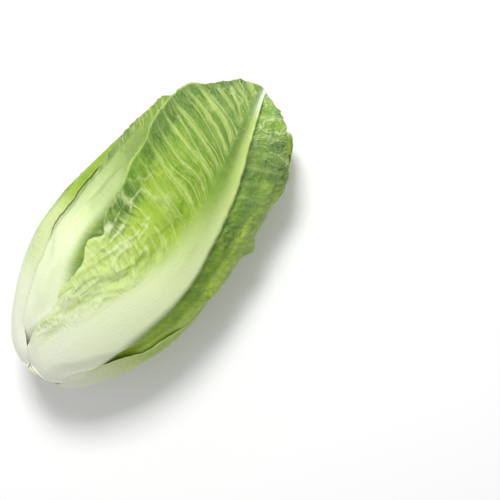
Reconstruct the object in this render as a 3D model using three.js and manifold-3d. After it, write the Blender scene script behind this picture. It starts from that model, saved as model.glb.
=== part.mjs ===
// A romaine heart lying on its side: a short cut stem and fourteen leaves wrapped round it.
// Millimetres. X runs from the butt to the leaf tips, Z is up and Y is to the left of the
// heart as seen from above. A place on a leaf is given by three numbers:
//   s      distance from the butt along the heart
//   angle  round the heart in degrees, 0 on top, positive towards +Y
//   depth  how far inside the heart's outer form, measured square to it
import * as THREE from 'three';
import { mergeVertices } from 'three/addons/utils/BufferGeometryUtils.js';
import Module from 'manifold-3d';

// The heart's outer form: an egg, wider than high, that narrows towards the tips
const HALF_WIDTH = 50.6;
const HALF_HEIGHT = 41.5;
const BASE_LENGTH = 80; // length over which the base swells to its full width
const BASE_CLOSING = -3; // where the dome of the base would close, before the butt
const BASE_CURVE = 1.7;
const BASE_BLUNTNESS = 0.6;
const BELLY = 72; // where the taper towards the tips sets in
const BELLY_ROUNDING = 34;
const WIDTH_TAPER = 0.115; // loss for each millimetre past the belly
const HEIGHT_TAPER = 0.15;
const TIP_START = 150;
const TIP_CLOSING = 0.004; // loss for each square millimetre past the start of the tip
const DROOP_START = 100;
const TIP_DROOP = 0.0008;
const SWAY = -4; // how far the middle of the heart leans to the -Y side
const SWAY_PLACE = 120;
const SWAY_LENGTH = 46;

// The stem: straight at the butt, then tapering to a point between the inner leaves
const BUTT_PLACE = 4;
const BUTT_RADIUS = 10.5;
const BUTT_EDGE = 0.8;
const STEM_STRAIGHT = 10;
const STEM_TOP = 52;
const STEM_TOP_RADIUS = 1.5;
const STEM_STEPS = 5;
const STEM_SIDES = 24;

// What all leaves share
const BLADE = 0.9; // thickness of a blade
const LEAF_GAP = 1.4; // air between a leaf and the next one in
const EDGE_HOLD = 2.5; // a leaf presses on the next one in as far as this past its edge
const FADE = 17; // and then less and less over this length beside it
const TIP_FADE = 26; // or this length beyond its tip
const TIP_ROUNDING = 0.24; // share of the leaf's length that its rounded tip takes
const TIP_BLUNTNESS = 0.7;
const TIP_CUT = 0.975; // the mesh ends at this share of the length
const TIP_SETTLE = 0.6; // the ribs and ruffles die out where the tip is less open than this
const ROOT_SETTLE = 30; // and within this distance of the butt
const RIB_CREST = 0.55; // share of the rib's half width that stays at full height
const RIB_FOOT = 1.35; // where the rib's slope ends, as a share of its half width
const RISE_CURVE = 1.6;
const RUFFLE_START = 0.35; // where the ruffles start on the blade, from rib 0 to edge 1
const LEAST_BLADE = 6;
const LEAST_EDGE = 1;
const EDGE_WAVE = 0.02; // how far an edge swings in and out, as a share of the blade
const EDGE_WAVE_LENGTH = 24;

// Roots stand this clear of the stem, and are looked for downwards from the limit
const ROOT_GAP = 0.6;
const ROOT_LIMIT = 80;
const ROOT_STEP = 0.5;
const ROOT_GUESS = 12;

// How a leaf is divided into rows and columns
const ROW_CROWDING = 0.5; // rows stand closer at the root and the tip
const WIDEST_FOOT = 0.62;
const FINE_COLUMNS = { rib: [0.45, 0.75, 1], blade: [0.33, 0.67, 1] };
const PLAIN_COLUMNS = { rib: [0.6, 1], blade: [0.28, 0.54, 0.78, 1] };

// The rib that the heart rests on is pressed flat by this much
const FLAT_DEPTH = 1.3;

// The leaves from the outside in. rib, left and right are lines along the leaf, as
// [s, angle] points: the middle of the rib and the edges on its + and - side.
// ribHalf and ribThick run from root to tip. sink is how far the blade lies under the
// crest of the rib and rise how much of that it wins back at its edge, on the + and - side.
const VISIBLE_LEAVES = [
  {
    name: 'leaf_outer_right', tip: 163, colour: 0x9cbf68, rows: 20, ruffle: 0.6, wave: 37,
    rib: [[0, -172], [60, -178], [163, -172]],
    left: [[0, -90], [12, -40], [36, -54], [49, -64], [73, -79], [84, -89], [120, -104], [163, -112]],
    right: [[0, -228], [60, -240], [163, -226]],
    ribHalf: [18, 3], ribThick: [6, 1.8], sink: [1.2, 1.2], rise: [0.8, 0.8],
  },
  {
    name: 'leaf_outer_left', tip: 152, colour: 0xb9cf72, rows: 20, ruffle: 0.6, wave: 33,
    rib: [[0, 104], [60, 122], [152, 126]],
    left: [[0, 150], [60, 182], [152, 172]],
    right: [[0, 54], [20, 50], [32, 45], [57, 49], [76, 60], [89, 64], [105, 76], [125, 90], [152, 98]],
    ribHalf: [17, 3], ribThick: [5.5, 1.8], sink: [1.2, 1.2], rise: [0.8, 0.8],
  },
  {
    name: 'leaf_front', tip: 196, colour: 0xa6c764, rows: 28, ruffle: 0.5, wave: 29, gap: 1.9,
    rib: [[0, -15], [43, -20], [87, -30], [113, -26.5], [139, -22], [166, -14], [196, -3]],
    left: [[0, 38], [29, 20], [63, 18], [96, 30], [127, 46], [159, 64], [196, 92]],
    right: [[0, -75], [46, -92], [80, -97], [140, -97], [165, -88], [196, -72]],
    ribHalf: [20, 1.6], ribThick: [6.5, 1.6], sink: [1.3, 3.6], rise: [0.9, 1.7],
  },
  {
    name: 'leaf_left', tip: 166, colour: 0xc6d98f, rows: 22, ruffle: 0.6, wave: 27,
    rib: [[0, 15], [28, 24], [74, 39], [106, 44], [142, 54], [166, 58]],
    left: [[0, 80], [60, 100], [110, 96], [166, 92]],
    right: [[0, -35], [60, -20], [110, 0], [166, 20]],
    ribHalf: [18, 3], ribThick: [6, 1.6], sink: [1.4, 1.4], rise: [0.8, 0.8],
  },
  {
    name: 'leaf_behind_tip', tip: 179, colour: 0xb4cf76, rows: 20, ruffle: 0.6, wave: 31,
    rib: [[0, 80], [90, 84], [179, 60]],
    left: [[0, 130], [90, 146], [179, 120]],
    right: [[0, 30], [90, 24], [179, 10]],
    ribHalf: [15, 2], ribThick: [5, 1.5], sink: [1, 1], rise: [0.8, 0.8],
  },
  {
    name: 'leaf_back', tip: 188, colour: 0xb4cf76, rows: 20, ruffle: 0.5, wave: 35,
    rib: [[0, -130], [94, -126], [188, -124]],
    left: [[0, -80], [94, -66], [188, -74]],
    right: [[0, -180], [94, -188], [188, -176]],
    ribHalf: [14, 2], ribThick: [5, 1.4], sink: [0.9, 0.9], rise: [0.8, 0.8],
  },
];

// The leaves that the outer ones hide, as [name, angle of the rib, tip, half span, thickness]
const HIDDEN_LEAVES = [
  ['leaf_under_front', -52, 184, 60, 4.4],
  ['leaf_inner_1', 176, 178, 60, 3.8],
  ['leaf_inner_2', 14, 173, 60, 3.4],
  ['leaf_inner_3', -110, 168, 62, 3],
  ['leaf_inner_4', 122, 161, 64, 2.6],
  ['leaf_inner_5', -14, 152, 68, 2.2],
  ['leaf_inner_6', 212, 140, 74, 1.9],
  ['leaf_inner_7', 60, 124, 80, 1.6],
];
const HIDDEN_COLOUR = 0xcbdc86;
const HIDDEN_ROWS = 12;
const HIDDEN_GAP = 2;
const HIDDEN_RUFFLE = 0.4;
const HIDDEN_WAVE = 30;
const HIDDEN_RIB = [13, 1.5];
const HIDDEN_RIB_TIP = 1.2;
const HIDDEN_SINK = [0.8, 0.8];
const HIDDEN_RISE = [0.8, 0.8];
const HIDDEN_SPANS = [[0, 0.8], [0.5, 1], [1, 0.9]]; // share of the length and of the span

const RADIANS = Math.PI / 180;
const STEM_COLOUR = 0xe6e8c8;
const LEAF_ROUGHNESS = 0.45;

/** Smooth step from 0 to 1 while x goes from a to b. */
function smooth(a, b, x) {
  const t = THREE.MathUtils.clamp((x - a) / (b - a), 0, 1);
  return t * t * (3 - 2 * t);
}

/** A smooth curve through [place, value] points. */
function along(points, place) {
  const last = points.length - 1;
  const slope = (i) => {
    const before = points[Math.max(i - 1, 0)];
    const after = points[Math.min(i + 1, last)];
    return (after[1] - before[1]) / (after[0] - before[0]);
  };
  let i = 0;
  while (i < last - 1 && place > points[i + 1][0]) i += 1;
  const [x0, y0] = points[i];
  const [x1, y1] = points[i + 1];
  const width = x1 - x0;
  const t = THREE.MathUtils.clamp((place - x0) / width, 0, 1);
  const hold = t * t * (3 - 2 * t);
  const start = t * (1 - t) * (1 - t) * width * slope(i);
  const end = t * t * (t - 1) * width * slope(i + 1);
  return y0 + (y1 - y0) * hold + start + end;
}

/** The heart's half width, half height, and its middle's height and sideways sway at s. */
function section(s) {
  const x = THREE.MathUtils.clamp((s - BASE_CLOSING) / BASE_LENGTH, 0, 1);
  const base = (1 - (1 - x) ** BASE_CURVE) ** BASE_BLUNTNESS;
  const past = (s - BELLY + Math.hypot(s - BELLY, BELLY_ROUNDING)) / 2;
  const closing = TIP_CLOSING * Math.max(0, s - TIP_START) ** 2;
  return {
    half: (HALF_WIDTH - WIDTH_TAPER * past) * base - closing,
    high: (HALF_HEIGHT - HEIGHT_TAPER * past) * base - closing,
    middle: -TIP_DROOP * Math.max(0, s - DROOP_START) ** 2,
    sway: SWAY * Math.exp(-(((s - SWAY_PLACE) / SWAY_LENGTH) ** 2)),
  };
}

/** A point on the heart's outer form. */
function onForm(s, angle) {
  const { half, high, middle, sway } = section(s);
  const turn = angle * RADIANS;
  return new THREE.Vector3(s, sway + half * Math.sin(turn), middle + high * Math.cos(turn));
}

/** A point inside the heart, at a depth under its outer form. */
function inHeart(s, angle, depth) {
  const step = 0.5;
  const place = onForm(s, angle);
  const lengthwise = onForm(s + step, angle).sub(onForm(s - step, angle));
  const round = onForm(s, angle + step).sub(onForm(s, angle - step));
  const outward = lengthwise.cross(round).normalize();
  return place.addScaledVector(outward, -depth);
}

/** The stem's radius at a distance from the butt. */
function stemRadius(x) {
  const share = THREE.MathUtils.clamp((x - STEM_STRAIGHT) / (STEM_TOP - STEM_STRAIGHT), 0, 1);
  return BUTT_RADIUS + (STEM_TOP_RADIUS - BUTT_RADIUS) * share;
}

/** A hidden leaf in the same terms as the visible ones. */
function hiddenLeaf([name, angle, tip, span, thickness], index) {
  const edge = (side) => HIDDEN_SPANS.map(([place, share]) => [place * tip, angle + side * span * share]);
  return {
    name, tip, colour: HIDDEN_COLOUR, rows: HIDDEN_ROWS, columns: PLAIN_COLUMNS, gap: HIDDEN_GAP,
    ruffle: HIDDEN_RUFFLE, wave: HIDDEN_WAVE + index,
    rib: [[0, angle], [tip, angle]], left: edge(1), right: edge(-1),
    ribHalf: [HIDDEN_RIB[0] - index, HIDDEN_RIB[1]], ribThick: [thickness, HIDDEN_RIB_TIP],
    sink: HIDDEN_SINK, rise: HIDDEN_RISE,
  };
}

/** How wide a leaf is open at s, from 1 on most of its length to 0 at its rounded tip. */
function openness(leaf, s) {
  const x = (s / leaf.tip - 1 + TIP_ROUNDING) / TIP_ROUNDING;
  return (1 - THREE.MathUtils.clamp(x, 0, 1) ** 2) ** TIP_BLUNTNESS;
}

/** The leaf's measures at s: rib angle, spans in degrees, millimetres to a degree, rib size. */
function measures(leaf, s) {
  const { half, high } = section(s);
  const rib = along(leaf.rib, s);
  const open = openness(leaf, s);
  const share = THREE.MathUtils.clamp(s / leaf.tip, 0, 1);
  const wavy = EDGE_WAVE * Math.sin((2 * Math.PI * (s + leaf.tip)) / EDGE_WAVE_LENGTH);
  return {
    rib,
    open,
    left: (along(leaf.left, s) - rib) * open * (1 + wavy),
    right: (rib - along(leaf.right, s)) * open * (1 - wavy),
    arc: ((half + high) / 2) * RADIANS,
    ribHalf: THREE.MathUtils.lerp(leaf.ribHalf[0], leaf.ribHalf[1], share),
    ribThick: THREE.MathUtils.lerp(leaf.ribThick[0], leaf.ribThick[1], share),
  };
}

/** Angle from a leaf's rib, brought between -180 and 180. */
function fromRib(angle, rib) {
  return THREE.MathUtils.euclideanModulo(angle - rib + 180, 360) - 180;
}

/** The leaf's outer face under the room it has, and its thickness. */
function profile(leaf, s, angle) {
  const m = measures(leaf, s);
  const turn = fromRib(angle, m.rib);
  const side = turn >= 0 ? 0 : 1;
  const off = Math.abs(turn) * m.arc;
  const edge = Math.max((side ? m.right : m.left) * m.arc, LEAST_EDGE);
  const crest = 1 - smooth(m.ribHalf * RIB_CREST, m.ribHalf * RIB_FOOT, off);
  const blade = Math.max(edge - m.ribHalf, LEAST_BLADE);
  const out = THREE.MathUtils.clamp((off - m.ribHalf) / blade, 0, 1);
  const sunk = leaf.sink[side] * (1 - crest) * (1 - leaf.rise[side] * out ** RISE_CURVE);
  const ripple = 1 + Math.sin((2 * Math.PI * s) / leaf.wave + 2 * side);
  const ruffled = leaf.ruffle * smooth(RUFFLE_START, 1, out) * ripple;
  const settled = smooth(0, ROOT_SETTLE, s) * smooth(0, TIP_SETTLE, m.open);
  return {
    outer: (sunk + ruffled) * settled,
    thick: BLADE + (m.ribThick - BLADE) * crest,
  };
}

/** How fully a leaf covers a place: 1 under it, fading to 0 past its edges. */
function cover(leaf, s, angle) {
  const m = measures(leaf, s);
  const turn = fromRib(angle, m.rib);
  const past = (turn >= 0 ? turn - m.left : -turn - m.right) * m.arc;
  const beside = 1 - smooth(EDGE_HOLD, EDGE_HOLD + FADE, past);
  const beyond = 1 - smooth(EDGE_HOLD, EDGE_HOLD + TIP_FADE, s - leaf.tip);
  return beside * beyond;
}

/** Depth of a leaf's two faces, with all the leaves outside it laid over it. */
function faces(leaves, index, s, angle) {
  let depth = 0;
  let covered = 0;
  for (const outerLeaf of leaves.slice(0, index)) {
    const part = cover(outerLeaf, s, angle);
    const { outer, thick } = profile(outerLeaf, s, angle);
    depth += part * (Math.max(outer, 0) + thick + (outerLeaf.gap ?? LEAF_GAP));
    covered = Math.max(covered, part);
  }
  const own = profile(leaves[index], s, angle);
  const outer = depth + (own.outer < 0 ? own.outer * (1 - covered) : own.outer);
  return [outer, outer + own.thick];
}

/** The angle of a leaf's column at s. share runs from the rib, 0, to an edge, -1 or 1. */
function columnAngle(leaf, s, share) {
  const m = measures(leaf, s);
  return m.rib + share * (share < 0 ? m.right : m.left);
}

/** Shares of the half blade where the columns stand at s on one side of the rib. */
function columnShares(leaf, s, side) {
  const columns = leaf.columns ?? FINE_COLUMNS;
  const m = measures(leaf, s);
  const span = side < 0 ? m.right : m.left;
  const foot = Math.min((m.ribHalf * RIB_FOOT) / (span * m.arc), WIDEST_FOOT);
  const rib = columns.rib.map((share) => share * foot);
  const blade = columns.blade.map((share) => foot + (1 - foot) * share);
  return [0, ...rib, ...blade].map((share) => side * share);
}

/** Where a column's root stands: the last place, coming down the leaf, clear of the stem. */
function rootPlace(leaves, index, share) {
  let s = ROOT_LIMIT;
  let clear = true;
  while (clear && s > BUTT_PLACE) {
    s -= ROOT_STEP;
    const angle = columnAngle(leaves[index], s, share);
    const inner = inHeart(s, angle, faces(leaves, index, s, angle)[1]);
    clear = Math.hypot(inner.y, inner.z) > stemRadius(inner.x) + ROOT_GAP;
  }
  return s + ROOT_STEP;
}

/** One leaf as a closed shell: an outer face, an inner face and the rim between them. */
function leafGeometry(leaves, index) {
  const leaf = leaves[index];
  const { rib, blade } = leaf.columns ?? FINE_COLUMNS;
  const half = rib.length + blade.length;
  const tip = leaf.tip * TIP_CUT;
  const outerFace = [];
  const innerFace = [];
  const roots = [];
  for (let column = -half; column <= half; column += 1) {
    const side = Math.sign(column) || 1;
    roots.push(rootPlace(leaves, index, columnShares(leaf, ROOT_GUESS, side)[Math.abs(column)]));
  }
  const atRoot = roots.map((root, i) => Math.max(root, roots[i - 1] ?? 0, roots[i + 1] ?? 0));
  for (let row = 0; row <= leaf.rows; row += 1) {
    const share = row / leaf.rows;
    const crowded = share - (ROW_CROWDING * Math.sin(2 * Math.PI * share)) / (2 * Math.PI);
    for (let column = -half; column <= half; column += 1) {
      const root = atRoot[column + half];
      const s = root + (tip - root) * crowded;
      const side = Math.sign(column) || 1;
      const angle = columnAngle(leaf, s, columnShares(leaf, s, side)[Math.abs(column)]);
      const [outer, inner] = faces(leaves, index, s, angle);
      outerFace.push(inHeart(s, angle, outer));
      innerFace.push(inHeart(s, angle, inner));
    }
  }
  return closedShell(outerFace, innerFace, leaf.rows + 1, 2 * half + 1);
}

/** Joins two like grids of points into a closed shell, both split along the same diagonals. */
function closedShell(outerFace, innerFace, rows, across) {
  const points = [...outerFace, ...innerFace];
  const back = outerFace.length;
  const triangles = [];
  const quad = (a, b, c, d) => triangles.push(a, b, c, a, c, d);
  for (let row = 0; row < rows - 1; row += 1) {
    for (let column = 0; column < across - 1; column += 1) {
      const a = row * across + column;
      const b = a + across;
      quad(a, b, b + 1, a + 1);
      triangles.push(back + a, back + b + 1, back + b, back + a, back + a + 1, back + b + 1);
    }
  }
  const rim = [];
  for (let column = 0; column < across - 1; column += 1) rim.push(column);
  for (let row = 0; row < rows - 1; row += 1) rim.push(row * across + across - 1);
  for (let column = across - 1; column > 0; column -= 1) rim.push((rows - 1) * across + column);
  for (let row = rows - 1; row > 0; row -= 1) rim.push(row * across);
  rim.forEach((a, i) => {
    const b = rim[(i + 1) % rim.length];
    quad(a, b, back + b, back + a);
  });
  const geometry = new THREE.BufferGeometry();
  geometry.setAttribute('position', new THREE.Float32BufferAttribute(points.flatMap((p) => p.toArray()), 3));
  geometry.setIndex(triangles);
  return geometry;
}

/** The stem: cut flat at the butt, its axis along X. */
function stemGeometry() {
  const profilePoints = [
    new THREE.Vector2(0, BUTT_PLACE),
    new THREE.Vector2(BUTT_RADIUS - BUTT_EDGE, BUTT_PLACE),
    new THREE.Vector2(BUTT_RADIUS, BUTT_PLACE + BUTT_EDGE),
  ];
  for (let i = 0; i <= STEM_STEPS; i += 1) {
    const x = THREE.MathUtils.lerp(STEM_STRAIGHT, STEM_TOP, i / STEM_STEPS);
    profilePoints.push(new THREE.Vector2(stemRadius(x), x));
  }
  profilePoints.push(new THREE.Vector2(0, STEM_TOP));
  const geometry = new THREE.LatheGeometry(profilePoints, STEM_SIDES);
  geometry.rotateZ(-Math.PI / 2);
  return geometry;
}

function leafMesh(geometry, name, colour) {
  const material = new THREE.MeshStandardMaterial({ color: colour, roughness: LEAF_ROUGHNESS, metalness: 0 });
  const mesh = new THREE.Mesh(geometry, material);
  mesh.name = name;
  return mesh;
}

const wasm = await Module();
wasm.setup();

/** A closed geometry as a solid that can be cut. */
function toSolid(geometry) {
  const plain = new THREE.BufferGeometry();
  plain.setAttribute('position', geometry.getAttribute('position').clone());
  plain.setIndex(geometry.index.clone());
  const merged = mergeVertices(plain, 1e-4);
  return new wasm.Manifold(new wasm.Mesh({
    numProp: 3,
    vertProperties: new Float32Array(merged.getAttribute('position').array),
    triVerts: new Uint32Array(merged.index.array),
  }));
}

/** A solid as a geometry again. */
function toGeometry(solid) {
  const { vertProperties, triVerts } = solid.getMesh();
  const geometry = new THREE.BufferGeometry();
  geometry.setAttribute('position', new THREE.Float32BufferAttribute(vertProperties, 3));
  geometry.setIndex(Array.from(triVerts));
  return geometry;
}

/** Cuts away the lowest part of a leaf, which leaves a flat spot to rest on. */
function pressedFlat(geometry, depth) {
  geometry.computeBoundingBox();
  const { min, max } = geometry.boundingBox;
  const slab = new THREE.BoxGeometry(2 * max.x, 2 * max.x, 2 * depth);
  slab.translate(0, 0, min.z);
  return toGeometry(toSolid(geometry).subtract(toSolid(slab)));
}

const leaves = [...VISIBLE_LEAVES, ...HIDDEN_LEAVES.map(hiddenLeaf)];
const heart = new THREE.Group();
leaves.forEach((leaf, index) => {
  const shell = leafGeometry(leaves, index);
  const geometry = index === 0 ? pressedFlat(shell, FLAT_DEPTH) : shell;
  heart.add(leafMesh(geometry, leaf.name, leaf.colour));
});
heart.add(leafMesh(stemGeometry(), 'stem', STEM_COLOUR));

// The origin is the middle of the bottom of the heart's box
const box = new THREE.Box3().setFromObject(heart);
const middle = box.getCenter(new THREE.Vector3());
heart.position.set(-middle.x, -middle.y, -box.min.z);

export default heart;
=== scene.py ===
# %% [markdown]
# # A romaine heart, dressed for a close look
#
# A romaine heart is a bundle of long leaves wrapped round a short stem. Each leaf has a
# thick pale rib along its middle and a thin green blade on both sides of it.
# The plain solids of the heart are loaded first, as a frame. Every leaf is then built
# anew over its solid, with the same form but with veins, blisters and a ruffled edge.

import math

import bpy
import numpy as np
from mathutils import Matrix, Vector


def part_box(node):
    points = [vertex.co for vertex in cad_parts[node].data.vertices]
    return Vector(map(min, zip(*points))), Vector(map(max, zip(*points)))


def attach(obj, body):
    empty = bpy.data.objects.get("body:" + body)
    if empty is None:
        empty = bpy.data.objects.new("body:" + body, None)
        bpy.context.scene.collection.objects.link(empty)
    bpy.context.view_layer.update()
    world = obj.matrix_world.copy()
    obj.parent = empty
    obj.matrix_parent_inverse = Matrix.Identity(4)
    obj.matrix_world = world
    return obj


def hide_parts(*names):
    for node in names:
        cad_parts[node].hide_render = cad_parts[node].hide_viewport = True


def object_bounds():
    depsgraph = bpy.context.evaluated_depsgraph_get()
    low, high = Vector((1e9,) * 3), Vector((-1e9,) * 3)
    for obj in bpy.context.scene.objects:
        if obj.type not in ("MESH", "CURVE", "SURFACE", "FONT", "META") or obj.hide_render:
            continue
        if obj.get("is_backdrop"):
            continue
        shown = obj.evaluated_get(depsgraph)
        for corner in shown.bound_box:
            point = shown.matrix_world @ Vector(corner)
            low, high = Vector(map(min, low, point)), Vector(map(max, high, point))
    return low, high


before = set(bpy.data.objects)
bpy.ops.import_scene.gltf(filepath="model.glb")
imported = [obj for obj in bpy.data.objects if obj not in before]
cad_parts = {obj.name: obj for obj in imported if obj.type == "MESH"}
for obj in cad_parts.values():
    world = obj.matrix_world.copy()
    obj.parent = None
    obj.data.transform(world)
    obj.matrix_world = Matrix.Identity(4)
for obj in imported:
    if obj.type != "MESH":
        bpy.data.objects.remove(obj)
cad_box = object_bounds()
bpy.ops.object.select_all(action="DESELECT")
print("nodes in the frame:", len(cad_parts))

# %% [markdown]
# ## Where a point of a leaf lies
#
# A place on a leaf is given by three numbers: how far it is from the butt, the angle round
# the heart, and the depth under the heart's outer form. That form is an egg, wider than
# high. Working in these numbers keeps the leaves from cutting through one another, because
# each leaf simply lies as deep as all the leaves outside it need.

# %% The heart's outer form, in millimetres
HALF_WIDTH = 50.6
HALF_HEIGHT = 41.5
BASE_LENGTH = 80
BASE_CLOSING = -3
BASE_CURVE = 1.7
BASE_BLUNTNESS = 0.6
BELLY = 72
BELLY_ROUNDING = 34
WIDTH_TAPER = 0.115
HEIGHT_TAPER = 0.15
TIP_START = 150
TIP_CLOSING = 0.004
DROOP_START = 100
TIP_DROOP = 0.0008
SWAY = -2.4
SWAY_PLACE = 120
SWAY_LENGTH = 46


def smooth(a, b, x):
    """Smooth step from 0 to 1 while x goes from a to b."""
    t = np.clip((x - a) / (b - a), 0, 1)
    return t * t * (3 - 2 * t)


def along(points, place):
    """A smooth curve through (place, value) points."""
    x, y = np.array(points, dtype=float).T
    last = len(x) - 1
    before = np.maximum(np.arange(last + 1) - 1, 0)
    after = np.minimum(np.arange(last + 1) + 1, last)
    slope = (y[after] - y[before]) / (x[after] - x[before])
    i = np.clip(np.searchsorted(x, place, side="left") - 1, 0, last - 1)
    width = x[i + 1] - x[i]
    t = np.clip((place - x[i]) / width, 0, 1)
    start = t * (1 - t) ** 2 * width * slope[i]
    end = t * t * (t - 1) * width * slope[i + 1]
    return y[i] + (y[i + 1] - y[i]) * t * t * (3 - 2 * t) + start + end


def section(s):
    """Half width, half height, and the middle's height and sideways sway at s."""
    x = np.clip((s - BASE_CLOSING) / BASE_LENGTH, 0, 1)
    base = (1 - (1 - x) ** BASE_CURVE) ** BASE_BLUNTNESS
    past = (s - BELLY + np.hypot(s - BELLY, BELLY_ROUNDING)) / 2
    closing = TIP_CLOSING * np.maximum(0, s - TIP_START) ** 2
    half = (HALF_WIDTH - WIDTH_TAPER * past) * base - closing
    high = (HALF_HEIGHT - HEIGHT_TAPER * past) * base - closing
    middle = -TIP_DROOP * np.maximum(0, s - DROOP_START) ** 2
    sway = SWAY * np.exp(-(((s - SWAY_PLACE) / SWAY_LENGTH) ** 2))
    return half, high, middle, sway


def on_form(s, angle):
    """A point on the outer form, angle in degrees, 0 on top and positive towards +Y."""
    half, high, middle, sway = section(s)
    turn = np.radians(angle)
    return np.stack([s, sway + half * np.sin(turn), middle + high * np.cos(turn)], axis=-1)


def in_heart(s, angle, depth):
    """A point at a depth under the outer form, measured square to it."""
    lengthwise = on_form(s + 0.5, angle) - on_form(s - 0.5, angle)
    across = on_form(s, angle + 0.5) - on_form(s, angle - 0.5)
    outward = np.cross(lengthwise, across)
    outward /= np.linalg.norm(outward, axis=-1, keepdims=True)
    return on_form(s, angle) - outward * depth[..., None]


stem_low, stem_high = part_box("stem")
BUTT_PLACE = 4
PLACE = np.array([
    stem_low[0] - BUTT_PLACE / 1000,
    (stem_low[1] + stem_high[1]) / 2,
    (stem_low[2] + stem_high[2]) / 2,
])


def in_metres(points):
    """Points of the heart in millimetres, brought to where the stem stands in the frame."""
    return points / 1000 + PLACE


print("the heart's middle at the butt:", [round(float(v), 4) for v in PLACE])

# %% [markdown]
# ## The leaves
#
# Each leaf is a line for its rib and one for each of its two edges, drawn along the heart
# as (distance, angle) points. The rib is thick at the root and thins towards the tip. The
# list goes from the outside in, which is also the order in which they were wrapped.

# %% The leaves from the outside in
VISIBLE_LEAVES = [
    dict(
        name="leaf_outer_right", tip=163, ruffle=0, wave=37, gap=0.5,
        rib=[(0, -172), (60, -178), (163, -172)],
        left=[(0, -90), (12, -40), (36, -54), (49, -64), (73, -79), (84, -89), (120, -104), (163, -112)],
        right=[(0, -228), (60, -240), (163, -226)],
        rib_half=(18, 3), rib_thick=(6, 1.8), sink=(1.2, 1.2), rise=(0.8, 0.8),
    ),
    dict(
        name="leaf_outer_left", tip=152, ruffle=0, wave=33, gap=0.5,
        rib=[(0, 104), (60, 122), (152, 126)],
        left=[(0, 150), (60, 182), (152, 172)],
        right=[
            (0, 18), (8, 24), (14, 32), (21, 41), (32, 45), (57, 49), (76, 60), (89, 64),
            (105, 76), (125, 88), (152, 96),
        ],
        rib_half=(17, 3), rib_thick=(5.5, 1.8), sink=(1.2, 1.2), rise=(0.8, 0.8),
    ),
    dict(
        name="leaf_front", tip=196, ruffle=0.3, wave=29, gap=1.3, crest=((0.55, 0.8), (1.35, 1.4)),
        rib=[(0, -15), (43, -20), (87, -31), (113, -28.5), (139, -24), (166, -14.5), (196, -3)],
        left=[(0, 38), (29, 20), (63, 18), (96, 29), (127, 44), (159, 61), (176, 59), (196, 56)],
        right=[(0, -75), (46, -92), (80, -97), (140, -97), (160, -90), (173, -73), (196, -60)],
        rib_half=(20, 1.6), rib_thick=(6.5, 1.6), sink=(1.3, 3.6), rise=(0.9, 1.7),
    ),
    dict(
        name="leaf_left", tip=166, ruffle=0.6, wave=27,
        rib=[(0, 15), (28, 24), (74, 39), (106, 44), (142, 54), (166, 58)],
        left=[(0, 80), (60, 100), (110, 96), (166, 92)],
        right=[(0, -35), (60, -20), (110, 0), (166, 20)],
        rib_half=(18, 3), rib_thick=(6, 1.6), sink=(1.4, 1.4), rise=(0.8, 0.8),
    ),
    dict(
        name="leaf_behind_tip", tip=179, ruffle=0.6, wave=31,
        rib=[(0, 80), (90, 82), (179, 44)],
        left=[(0, 130), (90, 140), (130, 122), (156, 88), (179, 80)],
        right=[(0, 30), (90, 24), (179, 10)],
        rib_half=(15, 2), rib_thick=(5, 1.5), sink=(1, 1), rise=(0.8, 0.8),
    ),
    dict(
        name="leaf_back", tip=188, ruffle=0.5, wave=35,
        rib=[(0, -130), (94, -126), (188, -124)],
        left=[(0, -80), (94, -66), (188, -74)],
        right=[(0, -180), (94, -188), (188, -176)],
        rib_half=(14, 2), rib_thick=(5, 1.4), sink=(0.9, 0.9), rise=(0.8, 0.8),
    ),
]

# The leaves that the outer ones hide: name, angle of the rib, tip, half span, thickness
HIDDEN_LEAVES = [
    ("leaf_under_front", -52, 184, 60, 4.4),
    ("leaf_inner_1", 176, 178, 60, 3.8),
    ("leaf_inner_2", 14, 173, 60, 3.4),
    ("leaf_inner_3", -110, 168, 62, 3),
    ("leaf_inner_4", 122, 161, 64, 2.6),
    ("leaf_inner_5", -14, 152, 68, 2.2),
    ("leaf_inner_6", 212, 140, 74, 1.9),
    ("leaf_inner_7", 60, 124, 80, 1.6),
]
HIDDEN_SPANS = [(0, 0.8), (0.5, 1), (1, 0.9)]


def hidden_leaf(index, name, angle, tip, span, thickness):
    """A hidden leaf in the same terms as the visible ones."""
    return dict(
        name=name, tip=tip, ruffle=0.4, wave=30 + index, gap=2,
        rib=[(0, angle), (tip, angle)],
        left=[(place * tip, angle + span * share) for place, share in HIDDEN_SPANS],
        right=[(place * tip, angle - span * share) for place, share in HIDDEN_SPANS],
        rib_half=(13 - index, 1.5), rib_thick=(thickness, 1.2), sink=(0.8, 0.8), rise=(0.8, 0.8),
    )


hidden = [hidden_leaf(index, *row) for index, row in enumerate(HIDDEN_LEAVES)]
LEAVES = VISIBLE_LEAVES + hidden
print("leaves:", len(LEAVES))

# %% [markdown]
# ## The form of a leaf
#
# A leaf's blade lies a little deeper than the crest of its rib and rises again towards its
# edge. Where a leaf lies over the next one, that one is pressed in by its thickness and
# some air. Past the leaf's edge this dies away over a finger's width.

# %% The form of a leaf
BLADE = 0.9
LEAF_GAP = 1.4
EDGE_HOLD = 1.5
FADE = 10
TIP_FADE = 20
TIP_ROUNDING = 0.24
TIP_BLUNTNESS = 0.7
TIP_SETTLE = 0.6
ROOT_SETTLE = 30
PLAIN_CREST = ((0.55, 0.55), (1.35, 1.35))  # where the rib's slope begins and ends, by side
RISE_CURVE = 1.6
RUFFLE_START = 0.35
LEAST_BLADE = 6
EDGE_WAVE = 0.02
EDGE_WAVE_LENGTH = 24


def blend(pair, share):
    """From the first of a pair to the second."""
    return pair[0] + (pair[1] - pair[0]) * share


def openness(leaf, s):
    """How wide a leaf is open at s: 1 on most of its length, 0 at its rounded tip."""
    x = (s / leaf["tip"] - 1 + TIP_ROUNDING) / TIP_ROUNDING
    return (1 - np.clip(x, 0, 1) ** 2) ** TIP_BLUNTNESS


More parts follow.
